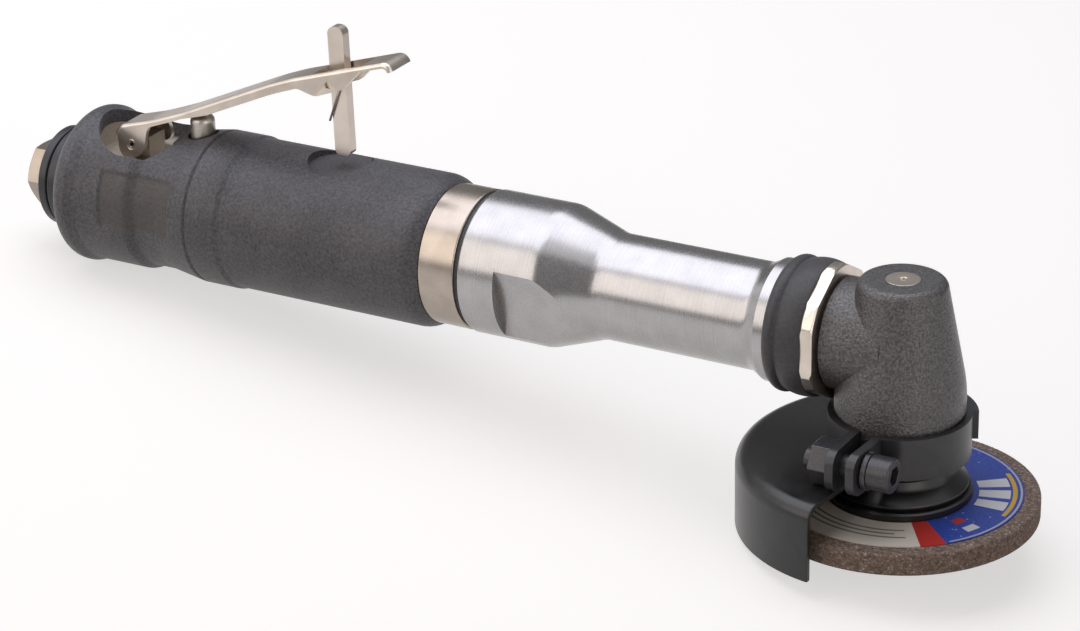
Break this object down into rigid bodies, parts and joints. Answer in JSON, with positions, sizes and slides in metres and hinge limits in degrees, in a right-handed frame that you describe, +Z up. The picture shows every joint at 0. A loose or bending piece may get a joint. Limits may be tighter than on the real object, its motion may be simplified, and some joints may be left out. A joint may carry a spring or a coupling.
{
  "type": "extended_right_angle_grinder",
  "caption": "Extended right-angle air grinder with a lever throttle and lock-off, a rubber grip, a slim metal extension, a swivelling angle head and a guarded grinding wheel",
  "frame": {"origin": "centre of the mouth of the air inlet, on the tool axis", "axes": "+X along the tool from the inlet to the head, +Z up away from the wheel, +Y to the left seen from behind"},
  "size_m": [0.3174, 0.0869, 0.1134],
  "materials": {
    "nickel_plate": "satin warm nickel plate",
    "grip_polymer": "charcoal moulded rubber with a fine texture",
    "black_moulding": "black moulded plastic",
    "turned_steel": "bare turned metal with fine lines round it",
    "housing_aluminium": "machined",
    "bearing_steel": "ground",
    "machined_steel": "machined and oiled",
    "spring_steel": "drawn wire",
    "brass": "turned",
    "rubber": "moulded, matt",
    "vane_composite": "cloth laminate",
    "felt": "pressed felt",
    "head_casting": "black, fine cast texture",
    "black_oxide": "black oxide, satin",
    "guard_paint": "gloss black paint on sheet steel",
    "flange_enamel": "gloss black",
    "abrasive": "dark brown grit in resin",
    "label_print": "printed paper, blue with white, red and yellow"
  },
  "bodies": {
    "housing": {"inlet_bushing": "nickel_plate", "inlet_screen": "machined_steel", "exhaust_cap": "black_moulding", "muffler_felt": "felt", "motor_housing": "housing_aluminium", "grip_sleeve": "grip_polymer", "lever_pin": "nickel_plate", "valve_guide": "brass", "valve_seal": "rubber", "valve_seat": "brass", "rear_end_plate": "housing_aluminium", "motor_cylinder": "machined_steel", "front_end_plate": "housing_aluminium", "rear_rotor_bearing": "bearing_steel", "front_rotor_bearing": "bearing_steel", "collar_ring": "nickel_plate", "collar_seal": "rubber", "extension_housing": "turned_steel", "shaft_bearing": "bearing_steel", "rubber_band": "rubber", "lock_nut": "nickel_plate"},
    "throttle": {"throttle_lever": "nickel_plate", "lock_pin": "nickel_plate", "lock_spring": "spring_steel"},
    "lock": {"lock_lever": "nickel_plate"},
    "valve": {"valve_stem": "machined_steel", "valve_spring": "spring_steel"},
    "head": {"head_housing": "head_casting", "grease_plug": "nickel_plate", "rear_pinion_bearing": "bearing_steel", "pinion_spacer": "bearing_steel", "front_pinion_bearing": "bearing_steel", "upper_spindle_bearing": "bearing_steel", "lower_spindle_bearing": "bearing_steel", "bearing_cap": "brass"},
    "motor": {"rotor": "machined_steel", "rotor_vanes": "vane_composite", "shaft_coupling": "machined_steel", "drive_shaft": "machined_steel", "bevel_pinion": "machined_steel"},
    "wheel": {"spindle": "machined_steel", "bevel_gear": "machined_steel", "gear_key": "machined_steel", "wheel_flange": "flange_enamel", "grinding_wheel": "abrasive", "wheel_label": "label_print", "clamp_nut": "black_oxide"},
    "guard": {"wheel_guard": "guard_paint", "clamp_band": "guard_paint", "clamp_screw": "black_oxide", "clamp_washer": "black_oxide", "clamp_hex_nut": "black_oxide"}
  },
  "joints": [
    {"name": "head_swivel", "type": "hinge", "parent": "housing", "child": "head", "pos_m": [0.258, 0, 0], "axis": [1, 0, 0], "range_deg": [-180, 180]},
    {"name": "spindle_spin", "type": "hinge", "parent": "head", "child": "wheel", "pos_m": [0.2793, 0, -0.02], "axis": [0, 0, 1], "continuous": true},
    {"name": "motor_spin", "type": "hinge", "parent": "head", "child": "motor", "pos_m": [0.1923, 0, 0], "axis": [1, 0, 0], "continuous": true},
    {"name": "guard_swivel", "type": "hinge", "parent": "head", "child": "guard", "pos_m": [0.2793, 0, -0.0249], "axis": [0, 0, 1], "range_deg": [-60, 75]},
    {"name": "lock_swing", "type": "hinge", "parent": "throttle", "child": "lock", "pos_m": [0.10583, 0, 0.04573], "axis": [0, 1, 0], "range_deg": [0, 42], "stiffness_Nm_per_rad": 0.05, "springref_deg": -17.19},
    {"name": "throttle_press", "type": "hinge", "parent": "housing", "child": "throttle", "pos_m": [0.0376, 0, 0.01695], "axis": [0, 1, 0], "range_deg": [0, 4.2], "stiffness_Nm_per_rad": 0.5, "springref_deg": -5.73},
    {"name": "valve_press", "type": "slide", "parent": "housing", "child": "valve", "axis": [0, 0, -1], "range_m": [0, 0.0015], "stiffness_N_per_m": 5, "springref_m": -0.004, "deforming": ["valve_spring"]}
  ],
  "couplings": [
    {"joint": "motor_spin", "follows": "spindle_spin", "ratio": -1.6429},
    {"joint": "lock_swing", "follows": "throttle_press", "ratio": 10},
    {"joint": "valve_press", "follows": "throttle_press", "m_per_rad": 0.020463}
  ]
}
